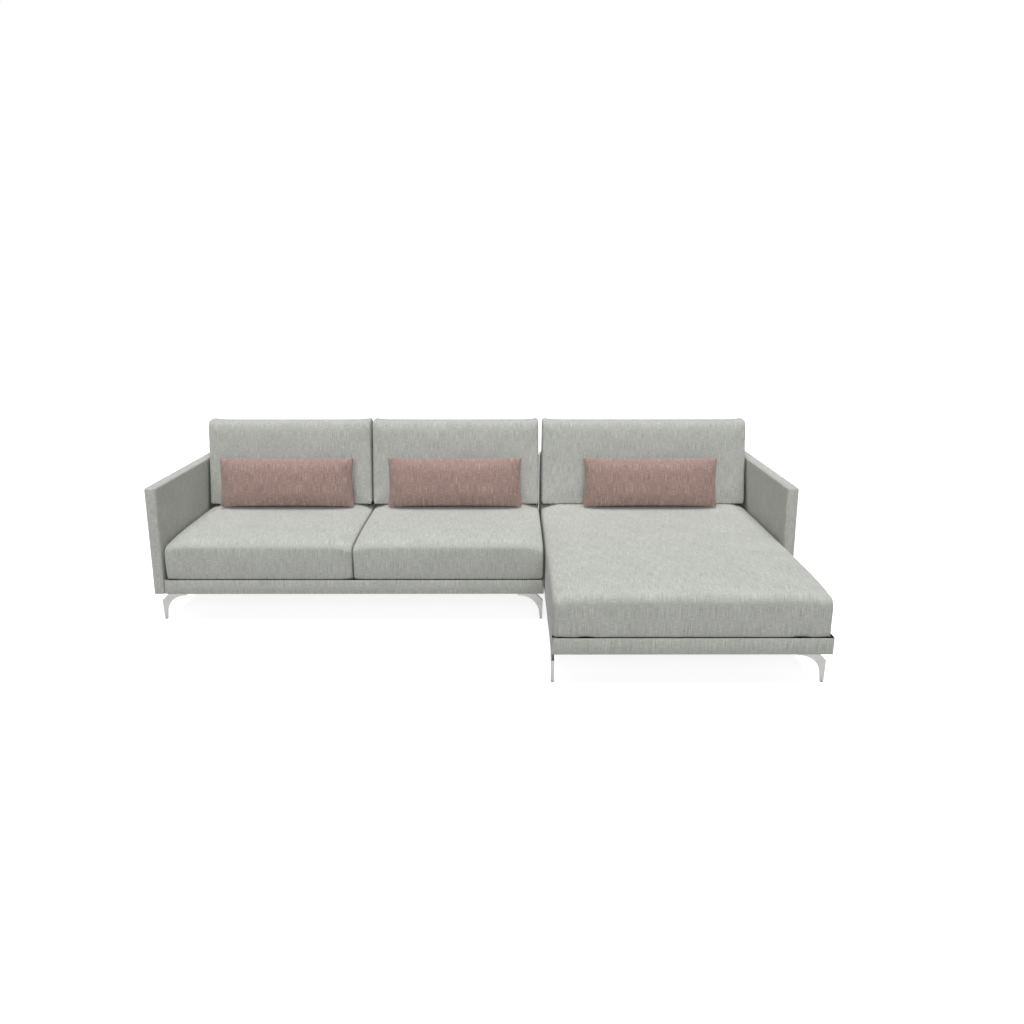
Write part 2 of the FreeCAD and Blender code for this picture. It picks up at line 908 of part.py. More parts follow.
def module_base(name, x0, x1, y0, y1, centre_at, cross_at, feet):
    """Everything of one module's base below its cushions. Gives back its corner blocks."""
    holes = Part.makeCompound([arm_bolt_holes(), mirrored(arm_bolt_holes()), connector_holes()])
    middle = x_left + arm_thickness_low / 2
    cleats = arm_cleats(middle, cleat_clearance)
    openings = cleats + [mirrored(cleat) for cleat in cleats] + connector_snips()
    notches = [placed(foot_plate_room(), corner) for corner in feet] + connector_plate_room()
    foot_holes = Part.makeCompound([placed(foot_bolt_hole(), corner) for corner in feet])
    front, rear, sides = base_rails(x0, x1, y0, y1)
    save(name + "_front_rail", front)
    save(name + "_rear_rail", rear)
    save(name + "_side_rails", [side.cut(holes) for side in sides])
    save(name + "_cross_rails", cross_rails(x0, x1, y0, centre_at, cross_at))
    save(name + "_base_cover", base_cover(x0, x1, y0, y1).cut(openings))
    save(name + "_dust_cover", dust_cover(x0, x1, y0, y1).cut(notches))
    save(name + "_deck_pad", deck_pad(x0, x1, y0, y1))
    save(name + "_webbing", webbing(x0, x1, y0, y1))
    return [block.cut(foot_holes) for block in corner_blocks(x0, x1, y0, y1)]


def main():
    os.makedirs("parts", exist_ok=True)
    corners = foot_corners()
    sofa_x0 = x_left + base_inset
    chaise_x1 = x_right - base_inset

    # Bases
    feet = {
        module: [corner for name, corner in corners.items() if name.startswith(module)]
        for module in ("sofa", "chaise")
    }
    blocks = module_base(
        "sofa", sofa_x0, x_sofa, y_sofa, y_rear, [seat_seam_x], [], feet["sofa"]
    )
    blocks += module_base(
        "chaise", x_chaise, chaise_x1, y_chaise, y_rear, [], [y_sofa], feet["chaise"]
    )
    save("corner_blocks", blocks)

    # Feet, glides and what joins the modules
    casting = foot_casting()
    for name, corner in corners.items():
        save(name, placed(casting, corner))
    save("foot_glides", [placed(glide_pad(), corner) for corner in corners.values()])
    save(
        "base_bolts",
        [placed(foot_bolt(), corner) for corner in corners.values()] + connector_bolts(),
    )
    save("connector_plates", connector_plates())

    # Arms
    skin, padding, panel = arm_parts()
    for name, shape in (("arm_cover", skin), ("arm_padding", padding), ("arm_panel", panel)):
        save("sofa_" + name, shape)
        save("chaise_" + name, mirrored(shape))
    save("arm_bolts", arm_bolts() + [mirrored(one) for one in arm_bolts()])

    # Low backs
    back_inset = arm_thickness_top + side_gap
    for name, x0, x1 in (
        ("sofa", x_left + back_inset, x_sofa),
        ("chaise", x_chaise, x_right - back_inset),
    ):
        skin, padding, frame = back_parts(x0, x1)
        save(name + "_back_cover", skin)
        save(name + "_back_padding", padding)
        save(name + "_back_frame", frame)

    # Seat cushions
    arm_side = arm_inner(z_seat) + 2 * side_gap + cover_thickness
    half_gap = seat_cushion_gap / 2
    seats = {
        "seat_left": (x_left + arm_side, seat_seam_x - half_gap, y_sofa),
        "seat_middle": (seat_seam_x + half_gap, x_sofa - half_gap, y_sofa),
        "seat_chaise": (x_chaise + half_gap, x_right - arm_side, y_chaise),
    }
    for name, (x0, x1, front) in seats.items():
        cover, core = shell_and_core(lambda inset: seat_cushion(x0, x1, front, inset))
        save(name + "_cover", cover)
        save(name + "_foam", core)

    # Back cushions, and the lumbar cushions that lean on them
    arm_side = arm_inner(arm_height) + back_cushion_arm_gap
    half_gap = back_cushion_gap / 2
    joint_gap = (back_cushion_joint_gap - module_gap) / 2
    backs = {
        "left": (x_left + arm_side, seat_seam_x - half_gap),
        "middle": (seat_seam_x + half_gap, x_sofa - joint_gap),
        "chaise": (x_chaise + joint_gap, x_right - arm_side),
    }
    shifts = {"left": 0.0, "middle": 0.0, "chaise": lumbar_shift_chaise}
    lumbar_cover, lumbar_core = shell_and_core(lumbar_cushion)
    for name, (x0, x1) in backs.items():
        cover, core = shell_and_core(lambda inset: back_cushion(x0, x1, inset))
        save("back_" + name + "_cover", cover)
        save("back_" + name + "_filling", core)
        centre_x = (x0 + x1) / 2 + shifts[name]
        centre_y = lumbar_against(lumbar_cover, cover, centre_x)
        save("lumbar_" + name + "_cover", leaning(lumbar_cover, centre_x, centre_y))
        save("lumbar_" + name + "_filling", leaning(lumbar_core, centre_x, centre_y))


main()
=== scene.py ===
# %% [markdown]
# # A sectional sofa with a chaise
#
# The sofa is upholstery over a low timber base. On the left are two seats, on the right a seat that runs
# out as a chaise. Three tall back cushions lean on a low upholstered back, three rose lumbar cushions lean
# on them, and cast bracket feet carry the whole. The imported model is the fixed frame: every piece here is
# made in the same metres and the same place, and stands for the plain solid that it dresses.

# %% Load the frame
import json
from math import cos, pi, radians, sin, tan

import bpy
import numpy as np
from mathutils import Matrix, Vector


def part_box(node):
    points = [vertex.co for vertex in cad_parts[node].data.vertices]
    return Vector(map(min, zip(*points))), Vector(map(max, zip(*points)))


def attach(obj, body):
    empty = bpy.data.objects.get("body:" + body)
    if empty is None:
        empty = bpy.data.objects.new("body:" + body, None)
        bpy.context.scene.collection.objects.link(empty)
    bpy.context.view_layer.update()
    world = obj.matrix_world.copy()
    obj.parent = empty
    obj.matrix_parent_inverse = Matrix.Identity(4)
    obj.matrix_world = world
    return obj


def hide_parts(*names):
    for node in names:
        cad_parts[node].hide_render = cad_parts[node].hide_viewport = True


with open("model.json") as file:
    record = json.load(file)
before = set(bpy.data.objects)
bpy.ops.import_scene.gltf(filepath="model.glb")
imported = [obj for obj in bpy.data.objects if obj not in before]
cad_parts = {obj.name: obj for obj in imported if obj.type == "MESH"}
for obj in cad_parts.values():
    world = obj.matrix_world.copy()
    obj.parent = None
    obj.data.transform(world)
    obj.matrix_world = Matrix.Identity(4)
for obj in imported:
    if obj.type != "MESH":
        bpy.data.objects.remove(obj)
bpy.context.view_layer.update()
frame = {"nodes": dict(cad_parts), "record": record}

# %% [markdown]
# ## Working by hand
#
# An operator acts on all that is selected, so each step starts from nothing selected. These helpers pick
# one piece, and pick its corners, edges or faces by where they are, to move or round them.

# %% Select one piece, and parts of it
def alone(piece):
    """Selects this piece only, in object mode."""
    if bpy.context.object and bpy.context.object.mode != "OBJECT":
        bpy.ops.object.mode_set(mode="OBJECT")
    bpy.ops.object.select_all(action="DESELECT")
    piece.select_set(True)
    bpy.context.view_layer.objects.active = piece


def pick(piece, kind, test):
    """Selects the corners, edges or faces for which test(place, direction) holds, and enters edit mode."""
    alone(piece)
    bpy.ops.object.mode_set(mode="EDIT")
    bpy.ops.mesh.select_mode(type=kind)
    bpy.ops.mesh.select_all(action="DESELECT")
    bpy.ops.object.mode_set(mode="OBJECT")
    mesh = piece.data
    if kind == "FACE":
        for face in mesh.polygons:
            face.select = bool(test(face.center, face.normal))
    elif kind == "VERT":
        for corner in mesh.vertices:
            corner.select = bool(test(corner.co, corner.normal))
    else:
        for edge in mesh.edges:
            a, b = (mesh.vertices[i].co for i in edge.vertices)
            edge.select = bool(test((a + b) / 2, (b - a).normalized()))
    bpy.ops.object.mode_set(mode="EDIT")


def shift(piece, test, x=0.0, y=0.0):
    """Moves the corners for which test(place, direction) holds."""
    pick(piece, "VERT", test)
    bpy.ops.transform.translate(value=(x, y, 0))
    bpy.ops.object.mode_set(mode="OBJECT")


def bevel(radius, segments):
    """Rounds the picked edges."""
    bpy.ops.mesh.bevel(offset=radius, segments=segments, affect="EDGES")


print("picking ready")

# %% A box, modifiers and shading
def block(name, low, high):
    """A box between two corners, with its place in its mesh."""
    middle = [(a + b) / 2 for a, b in zip(low, high)]
    size = [b - a for a, b in zip(low, high)]
    bpy.ops.object.select_all(action="DESELECT")
    bpy.ops.mesh.primitive_cube_add(size=1, location=middle, scale=size)
    piece = bpy.context.object
    piece.name = piece.data.name = name
    bpy.ops.object.transform_apply(location=True, rotation=True, scale=True)
    return piece


def finish_with(piece, kind, **settings):
    """Adds a modifier and applies it."""
    alone(piece)
    modifier = piece.modifiers.new(kind.title(), kind)
    for key, value in settings.items():
        setattr(modifier, key, value)
    bpy.ops.object.modifier_apply(modifier=modifier.name)


def smooth(piece, angle=40):
    """Shades smooth where faces meet at less than this many degrees."""
    alone(piece)
    bpy.ops.object.shade_smooth_by_angle(angle=radians(angle))


print("modelling ready")

# %% [markdown]
# ## Camera
#
# The photograph looks down on the sofa by fifteen degrees from a little right of its middle. The camera
# was fitted to the straight edges of the arms, cushions and base, so it is given here as numbers. A tiny
# shift of the picture, rather than a tilt, puts the sofa at its height without turning its upright edges.

# %% Camera
camera_spot = (0.177, -3.82, 1.55)
camera_down = 15.0
camera_turn = -0.1
camera_shift = -0.0016
sensor_width = 36
lens_widths = 840 / 1024

bpy.ops.object.select_all(action="DESELECT")
bpy.ops.object.camera_add(
    location=camera_spot, rotation=(radians(90 - camera_down), 0, radians(camera_turn))
)
camera = bpy.context.object
camera.data.sensor_width = sensor_width
camera.data.lens = lens_widths * sensor_width
camera.data.shift_y = camera_shift
bpy.context.scene.camera = camera
print("camera lens", round(camera.data.lens, 2), "mm")

# %% [markdown]
# ## Room and light
#
# The photograph is a cut-out on white, lit from above: the tops of the cushions are the brightest, and
# the fronts are about two thirds as bright, while the arms' inner sides are darker again. A soft light
# overhead, a weaker one from the front and a dim even sky give that. The floor is white to the camera,
# but greyer to the light that bounces off it, so that it keeps the fronts darker than the tops.

# %% Node helpers
def feed(tree, socket, value):
    """Links a socket to another one, or sets it to a value."""
    if isinstance(value, bpy.types.NodeSocket):
        tree.links.new(value, socket)
    else:
        socket.default_value = value


def add(tree, kind, inputs=(), **settings):
    """Adds a node. inputs are values or sockets, by name or in order."""
    node = tree.nodes.new("ShaderNode" + kind)
    for key, value in settings.items():
        setattr(node, key, value)
    pairs = inputs.items() if isinstance(inputs, dict) else enumerate(inputs)
    for key, value in pairs:
        feed(tree, node.inputs[key], value)
    return node


def maths(tree, operation, *inputs):
    return add(tree, "Math", inputs, operation=operation).outputs[0]


def ease(tree, value, low, high, first=0.0, last=1.0):
    """Maps low to first and high to last, and holds beyond them."""
    return add(tree, "MapRange", {0: value, 1: low, 2: high, 3: first, 4: last}).outputs[0]


def noise(tree, place, scale, detail, roughness=0.5):
    inputs = {"Vector": place, "Scale": scale, "Detail": detail, "Roughness": roughness}
    return add(tree, "TexNoise", inputs).outputs[0]


def blend(tree, share, first, second, **settings):
    """Mixes two colours, with this share of the second."""
    inputs = {0: share, 6: first, 7: second}
    return add(tree, "Mix", inputs, data_type="RGBA", **settings).outputs[2]


def grey(level):
    return (level, level, level, 1)


def emptied(owner):
    """The node tree of a world or a material, with nothing in it."""
    owner.use_nodes = True
    owner.node_tree.nodes.clear()
    return owner.node_tree


def camera_or_gloss(tree):
    """1 where the camera, a reflection or a refraction looks, 0 for the light that bounces."""
    path = add(tree, "LightPath").outputs
    seen = maths(tree, "MAXIMUM", path["Is Camera Ray"], path["Is Glossy Ray"])
    return maths(tree, "MAXIMUM", seen, path["Is Transmission Ray"])


print("nodes ready")

# %% Sky and floor
sky_level = 0.16
floor_bounce = 0.36
floor_shown = 0.55
floor_lift = 0.86
floor_size = 60

world = bpy.data.worlds.new("room")
bpy.context.scene.world = world
tree = emptied(world)
soft = add(tree, "Background", {"Color": grey(1), "Strength": sky_level})
white = add(tree, "Background", {"Color": grey(1), "Strength": 1.0})
mixed = add(tree, "MixShader", (camera_or_gloss(tree), soft.outputs[0], white.outputs[0]))
add(tree, "OutputWorld", (mixed.outputs[0],))

bpy.ops.object.select_all(action="DESELECT")
bpy.ops.mesh.primitive_plane_add(size=floor_size, location=(0, 0, 0))
floor = bpy.context.object
floor.name = "floor"
paper = bpy.data.materials.new("floor_paper")
tree = emptied(paper)
bounce = add(tree, "BsdfDiffuse", {"Color": grey(floor_bounce)})
shown = add(tree, "BsdfDiffuse", {"Color": grey(floor_shown)})
lift = add(tree, "Emission", {"Color": grey(1), "Strength": floor_lift})
shown = add(tree, "AddShader", (shown.outputs[0], lift.outputs[0]))
mixed = add(tree, "MixShader", (camera_or_gloss(tree), bounce.outputs[0], shown.outputs[0]))
add(tree, "OutputMaterial", (mixed.outputs[0],))
floor.data.materials.append(paper)
print("sky", sky_level, "floor's bounce", floor_bounce)

# %% Two soft lights
light_height = 6


def soft_light(name, tilt, spread, level):
    """Light from far away, tilted towards the front by tilt and as soft as spread makes it."""
    bpy.ops.object.select_all(action="DESELECT")
    bpy.ops.object.light_add(type="SUN", location=(0, 0, light_height), rotation=(radians(tilt), 0, 0))
    light = bpy.context.object
    light.name = name
    light.data.angle = radians(spread)
    light.data.energy = level
    print(name, "level", level)


soft_light("overhead_light", tilt=5, spread=40, level=2.5)
soft_light("front_light", tilt=68, spread=30, level=1.15)
bpy.context.scene.view_settings.view_transform = "Standard"

# %% [markdown]
# ## The woven cloth
#
# Both fabrics are plain weaves of uneven yarn. Where a yarn thickens, it leaves a slub, a pale or dark
# streak a few millimetres wide and up to a hand long, down the cloth and across it. A box cushion is cut
# so that its top and front are one run of cloth, with separate side panels. So the pattern reads x across
# and y + z along, which flows over the front edge without a break, and y and z on the side panels.

# %% How the cloth lies
side_panel_from = 0.72


def new_group(name, takes, gives):
    """A node group with these sockets. Returns it, the sockets that it is given and those that it fills."""
    group = bpy.data.node_groups.new(name, "ShaderNodeTree")
    for socket, kind, value in takes:
        made = group.interface.new_socket(socket, in_out="INPUT", socket_type="NodeSocket" + kind)
        made.default_value = value
    for socket, kind in gives:
        group.interface.new_socket(socket, in_out="OUTPUT", socket_type="NodeSocket" + kind)
    entry = group.nodes.new("NodeGroupInput")
    return group, entry.outputs, group.nodes.new("NodeGroupOutput").inputs


def use(tree, group, **values):
    """Adds a node group. A space in a socket's name is an underscore here."""
    node = tree.nodes.new("ShaderNodeGroup")
    node.node_tree = group
    for key, value in values.items():
        feed(tree, node.inputs[key.replace("_", " ")], value)
    return node.outputs


cloth_lie, _, out = new_group("cloth lie", [], [("Across", "Float"), ("Along", "Float")])
place = add(cloth_lie, "TexCoord").outputs
spot = add(cloth_lie, "SeparateXYZ", (place["Object"],)).outputs
facing = add(cloth_lie, "SeparateXYZ", (place["Normal"],)).outputs
side = maths(cloth_lie, "GREATER_THAN", maths(cloth_lie, "ABSOLUTE", facing[0]), side_panel_from)
run = maths(cloth_lie, "ADD", spot[1], spot[2])
across = add(cloth_lie, "Mix", {0: side, 2: spot[0], 3: spot[1]}).outputs[0]
along = add(cloth_lie, "Mix", {0: side, 2: run, 3: spot[2]}).outputs[0]
feed(cloth_lie, out["Across"], across)
feed(cloth_lie, out["Along"], along)
print("cloth lie ready")

# %% [markdown]
# A streak is one patch of a noise that is squeezed to the yarn's width and drawn out along it. The high
# patches of the noise are the pale streaks and the low ones are the dark streaks, so they never overlap.
# An image of cloth would repeat, and a noise doesn't.

# %% Streaks of thick yarn
pale_from, pale_full = 0.56, 0.71
dark_from, dark_full = 0.44, 0.29

streaks, given, out = new_group(
    "yarn streaks",
    [("Across", "Float", 0.0), ("Along", "Float", 0.0), ("Width", "Float", 0.004),
     ("Length", "Float", 0.1), ("Seed", "Float", 0.0)],
    [("Pale", "Float"), ("Dark", "Float")],
)
fine = maths(streaks, "DIVIDE", given["Across"], given["Width"])
long = maths(streaks, "DIVIDE", given["Along"], given["Length"])
spot = add(streaks, "CombineXYZ", (fine, long, given["Seed"])).outputs[0]
grain = noise(streaks, spot, 1.0, 2.0, roughness=0.6)
feed(streaks, out["Pale"], ease(streaks, grain, pale_from, pale_full))
feed(streaks, out["Dark"], ease(streaks, grain, dark_from, dark_full))
print("yarn streaks ready")

# %% [markdown]
# The weave puts three sorts of streak together: long ones down the cloth, shorter ones across it, and
# short fuzz. Over them lies a slow cloud of lighter and darker tone, and under them the yarns themselves,
# two waves multiplied, which paint shade into the gaps between the yarns and raise the ones on top.

# %% The weave itself
over_share = 0.8
fuzz_share = 0.5
cloud_scale = 7.0
cloud_shades = (0.96, 1.04)
painted_gap_shade = 0.86
slub_relief = 0.00025
yarn_relief = 0.00012

weave, given, out = new_group(
    "slub weave",
    [("Base", "Color", grey(0.5)), ("Pale yarn", "Color", grey(0.7)),
     ("Dark yarn", "Color", grey(0.3)), ("Slub", "Float", 0.5), ("Yarn", "Float", 0.0014)],
    [("Colour", "Color"), ("Height", "Float")],
)
lie = use(weave, cloth_lie)
down = use(weave, streaks, Across=lie[0], Along=lie[1], Width=0.0027, Length=0.070, Seed=1.0)
over = use(weave, streaks, Across=lie[1], Along=lie[0], Width=0.0023, Length=0.028, Seed=7.0)
fuzz = use(weave, streaks, Across=lie[0], Along=lie[1], Width=0.0016, Length=0.014, Seed=3.0)


def slubs(tone):
    """The strongest of the three sorts of streak, as far as this cloth shows them."""
    most = maths(weave, "MAXIMUM", down[tone], maths(weave, "MULTIPLY", over[tone], over_share))
    most = maths(weave, "MAXIMUM", most, maths(weave, "MULTIPLY", fuzz[tone], fuzz_share))
    return maths(weave, "MULTIPLY", most, given["Slub"])


def yarn_wave(distance):
    """A wave that turns once for every two yarns."""
    turns = maths(weave, "DIVIDE", maths(weave, "MULTIPLY", distance, pi), given["Yarn"])
    return maths(weave, "SINE", turns)


pale, dark = slubs("Pale"), slubs("Dark")
colour = blend(weave, pale, given["Base"], given["Pale yarn"])
colour = blend(weave, dark, colour, given["Dark yarn"])

spot = add(weave, "CombineXYZ", (lie[0], lie[1], 0.0)).outputs[0]
cloud = ease(weave, noise(weave, spot, cloud_scale, 3.0), 0.3, 0.7, *cloud_shades)
over_under = maths(weave, "MULTIPLY", yarn_wave(lie[0]), yarn_wave(lie[1]))
# Painted shade: the colour is darkened in the gaps between the yarns, where their shade falls.
gaps = ease(weave, maths(weave, "ABSOLUTE", over_under), 0.0, 0.5, painted_gap_shade, 1.0)
shade = maths(weave, "MULTIPLY", cloud, gaps)
shade = add(weave, "CombineColor", (shade, shade, shade)).outputs[0]
feed(weave, out["Colour"], blend(weave, 1.0, colour, shade, blend_type="MULTIPLY"))

thick = maths(weave, "MULTIPLY", maths(weave, "ADD", pale, dark), slub_relief)
raised = maths(weave, "MULTIPLY", over_under, yarn_relief)
feed(weave, out["Height"], maths(weave, "ADD", raised, thick))
print("weave ready")

# %% [markdown]
# ## Finishes
#
# Each finish is one Principled shader. The cloths get the weave above, a high roughness and a little
# sheen, because loose fibres catch the light at the edges of a cushion.

# %% The two cloths
def finish(name, **sockets):
    """A Principled material with these values. A space in a socket's name is an underscore here."""
    material = bpy.data.materials.new(name)
    material.use_nodes = True
    tree = material.node_tree
    shader = tree.nodes["Principled BSDF"]
    for key, value in sockets.items():
        feed(tree, shader.inputs[key.replace("_", " ")], value)
    return material, tree, shader


def bump(tree, shader, height, strength, distance=1.0):
    node = add(tree, "Bump", {"Strength": strength, "Distance": distance, "Height": height})
    feed(tree, shader.inputs["Normal"], node.outputs[0])


def cloth(name, base, pale, dark, slub):
    material, tree, shader = finish(name, Roughness=0.92, Sheen_Weight=0.25, Sheen_Roughness=0.5)
    woven = use(tree, weave, Base=base, Pale_yarn=pale, Dark_yarn=dark, Slub=slub)
    feed(tree, shader.inputs["Base Color"], woven["Colour"])
    bump(tree, shader, woven["Height"], strength=0.8)
    return material


grey_cloth = cloth(
    "grey_cloth",
    base=(0.50, 0.51, 0.475, 1), pale=(0.80, 0.81, 0.77, 1), dark=(0.24, 0.25, 0.22, 1), slub=0.72,
)
rose_cloth = cloth(
    "rose_cloth",
    base=(0.36, 0.245, 0.215, 1), pale=(0.66, 0.51, 0.46, 1), dark=(0.17, 0.095, 0.08, 1), slub=0.85,
)
print("cloths ready")

# %% [markdown]
# Under the cloth are timber, foam, felt, straps and plated steel. Little of them shows, so they share one
# recipe: two near colours mixed by a noise, whose relief also roughens the surface. Drawn out along x,
# the noise becomes the grain of sawn timber.

# %% Timber and the hidden layers
def grained(name, base, streak, scale, rough, relief, stretch=(1, 1, 1), metallic=0.0):
    """A finish of two colours mixed by a noise, which stretch squeezes or draws out on each axis."""
    material, tree, shader = finish(name, Roughness=rough, Metallic=metallic)
    place = add(tree, "TexCoord").outputs["Object"]
    place = add(tree, "Mapping", {"Vector": place, "Scale": stretch}).outputs[0]
    grain = noise(tree, place, scale, 4.0)
    feed(tree, shader.inputs["Base Color"], blend(tree, ease(tree, grain, 0.35, 0.65), base, streak))
    bump(tree, shader, grain, strength=0.4, distance=relief)
    return material


timber = grained(
    "timber", (0.52, 0.36, 0.2, 1), (0.40, 0.26, 0.13, 1),
    scale=12, rough=0.7, relief=0.001, stretch=(0.4, 6, 6),
)
lining = grained(
    "lining", (0.012, 0.012, 0.013, 1), (0.02, 0.02, 0.022, 1), scale=900, rough=0.9, relief=0.0004
)
foam = grained(
    "foam", (0.80, 0.76, 0.62, 1), (0.70, 0.65, 0.50, 1), scale=400, rough=0.95, relief=0.001
)
felt = grained(
    "felt", (0.32, 0.31, 0.29, 1), (0.22, 0.21, 0.2, 1), scale=200, rough=0.95, relief=0.001
)
strap = grained(
    "strap", grey(0.05), (0.09, 0.085, 0.08, 1), scale=300, rough=0.8, relief=0.0005, stretch=(1, 8, 1)
)
zinc = grained(
    "zinc", (0.55, 0.56, 0.57, 1), (0.42, 0.43, 0.45, 1),
    scale=60, rough=0.38, relief=0.0002, metallic=1.0,
)
pad_plastic = grained("pad_plastic", grey(0.02), grey(0.04), scale=500, rough=0.6, relief=0.0003)
print("hidden finishes ready")

# %% [markdown]
# The feet are cast metal with a satin surface. A slow noise changes its tone and gloss from place to
# place, as handling does, and a second one, squeezed across the foot, leaves faint upright brush lines.

# %% Cast metal
brush_stretch = (900, 900, 60)
wear_scale = 35.0

cast, tree, shader = finish("cast_metal", Metallic=1.0, Roughness=0.3)
place = add(tree, "TexCoord").outputs["Object"]
wear = noise(tree, place, wear_scale, 4.0)
colour = blend(tree, wear, (0.34, 0.34, 0.335, 1), (0.44, 0.44, 0.435, 1))
feed(tree, shader.inputs["Base Color"], colour)
feed(tree, shader.inputs["Roughness"], ease(tree, wear, 0.3, 0.7, 0.22, 0.36))
brushed = add(tree, "Mapping", {"Vector": place, "Scale": brush_stretch}).outputs[0]
bump(tree, shader, noise(tree, brushed, 1.0, 3.0), strength=0.15, distance=0.0003)
print("cast metal ready")

# %% [markdown]
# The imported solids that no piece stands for, such as the feet, rails and bolts, show as they are. Each
# takes the finish of its own slot.

# %% Give the nodes their finishes
node_finish = {
    "grey_fabric": grey_cloth,
    "rose_fabric": rose_cloth,
    "lining": lining,
    "foam": foam,
    "fibre": foam,
    "webbing": strap,
    "felt": felt,
    "timber": timber,
    "cast_metal": cast,
    "glide_plastic": pad_plastic,
    "steel": zinc,
}
for subpart in frame["record"]["subparts"]:
    node = frame["nodes"][subpart["node"]]
    node.data.materials.clear()
    node.data.materials.append(node_finish[subpart["material_slot"]])


def dress(piece, body, slot, nodes):
    """Gives a piece its finish and its body, and hides the nodes that it stands for."""
    piece.data.materials.clear()
    piece.data.materials.append(node_finish[slot])
    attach(piece, body)
    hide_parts(*nodes)
    print(piece.name, len(piece.data.polygons), "faces")


# %% [markdown]
# ## Fabric round the bases
#
# The base is a low timber box with cloth pulled tight round it. The cloth turns in over the top of the
# rails and under them, where it is stapled. A box without its top and bottom, its rims extruded inwards,
# is that band, and a thin wall and a small bevel give it the thickness of cloth.

# %% Base bands
base_lip = 0.024
base_corner = 0.010
cloth_wall = 0.002
cloth_edge = 0.0009


def base_band(name, node):
    band = block(name, *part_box(node))
    pick(band, "EDGE", lambda p, d: abs(d.z) > 0.9)
    bevel(base_corner, 4)
    pick(band, "FACE", lambda p, n: abs(n.z) > 0.9)
    bpy.ops.mesh.inset(thickness=base_lip)
    bpy.ops.mesh.delete(type="FACE")
    finish_with(band, "SOLIDIFY", thickness=cloth_wall, offset=-1)
    finish_with(band, "BEVEL", width=cloth_edge, segments=2, limit_method="ANGLE", angle_limit=radians(40))
    smooth(band)
    return band


for module in ("sofa", "chaise"):
    band = base_band(module + "_base_band", module + "_base_cover")
    dress(band, "sofa", "grey_fabric", [module + "_base_cover"])

# %% [markdown]
# ## Arms and low backs
#
# The arms are thin padded panels with crisp edges. Towards the floor their inner side runs in under the
# seat and their outer side runs out a little. The low back is a thicker panel whose front leans back.
# Both start as a box, the corners that lean are moved, and the edges above the underside are bevelled.

# %% Arms
arm_foot_narrower = 0.013
arm_foot_splay = 0.006
arm_edge = 0.010
at_face = 0.01


def round_edges(piece, radius, above):
    """Bevels the edges that reach above a height."""
    pick(piece, "EDGE", lambda p, d: p.z > above)
    bevel(radius, 5)
    bpy.ops.object.mode_set(mode="OBJECT")


def arm(name, node, outside):
    """outside is -1 for the left arm and 1 for the right one."""
    low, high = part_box(node)
    foot, middle = low.z + at_face, (low.x + high.x) / 2
    panel = block(name, low, high)
    shift(panel, lambda p, n: p.z < foot and (p.x - middle) * outside < 0, x=outside * arm_foot_narrower)
    shift(panel, lambda p, n: p.z < foot and (p.x - middle) * outside > 0, x=outside * arm_foot_splay)
    round_edges(panel, arm_edge, foot)
    smooth(panel)
    return panel


for module, outside in (("sofa", -1), ("chaise", 1)):
    panel = arm(module + "_arm", module + "_arm_cover", outside)
    dress(panel, "sofa", "grey_fabric", [module + "_arm_cover", module + "_arm_padding"])

# %% Low backs
low_back_lean = radians(3)
low_back_edge = 0.012


def low_back(name, node):
    low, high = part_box(node)
    middle = (low.y + high.y) / 2
    set_back = (high.z - low.z) * tan(low_back_lean)
    panel = block(name, low, high)
    shift(panel, lambda p, n: p.y < middle and p.z > high.z - at_face, y=set_back)
    round_edges(panel, low_back_edge, low.z + at_face)
    smooth(panel)
    return panel


for module in ("sofa", "chaise"):
    panel = low_back(module + "_low_back", module + "_back_cover")
    dress(panel, "sofa", "grey_fabric", [module + "_back_cover", module + "_back_padding"])

# %% [markdown]
# ## How a cushion is filled
#
# A cushion is sewn slightly smaller than its filling and swells when it is stuffed. So each one starts
# a little small, is remeshed to an even net, and is blown up as cloth under pressure. Free cloth would
# swell far more than foam allows, so its movement is then scaled down. What is left is the way that
# cloth moves: the most in the middle of a panel, and hardly at all along the seams.

# %% An even net of points
seam_round = 0.006
sharp_from = radians(50)


def points_of(piece):
    flat = np.zeros(len(piece.data.vertices) * 3)
    piece.data.vertices.foreach_get("co", flat)
    return flat.reshape(-1, 3)


def put_points(piece, points):
    piece.data.vertices.foreach_set("co", points.ravel())
    piece.data.update()


def reshape(piece, rule, *values):
    """Lets a rule move the points of a piece."""
    points = points_of(piece)
    rule(points, *values)
    put_points(piece, points)


def sew(piece, radius, segments, spacing):
    """Rounds the picked edges and then the seams, and turns the box into an even net of points."""
    bevel(radius, segments)
    bpy.ops.mesh.select_all(action="DESELECT")
    bpy.ops.mesh.edges_select_sharp(sharpness=sharp_from)
    bevel(seam_round, 2)
    bpy.ops.object.mode_set(mode="OBJECT")
    finish_with(piece, "REMESH", mode="VOXEL", voxel_size=spacing)
    finish_with(piece, "SMOOTH", factor=0.5, iterations=1)


def ramp(distance, reach):
    """1 at distance 0, easing to 0 at reach."""
    t = np.clip(1 - distance / reach, 0, 1)
    return t * t


def soften(piece, angle):
    """Halves the net's squares and shades them smooth."""
    finish_with(piece, "SUBSURF", levels=1, render_levels=1)
    smooth(piece, angle)


print("net ready")

# %% Swell a piece as cloth
free_movement = 0.030
seam_give = 0.25
cloth_frames = 12
cloth_quality = 4
cloth_mass = 0.3
cloth_bending = 0.5


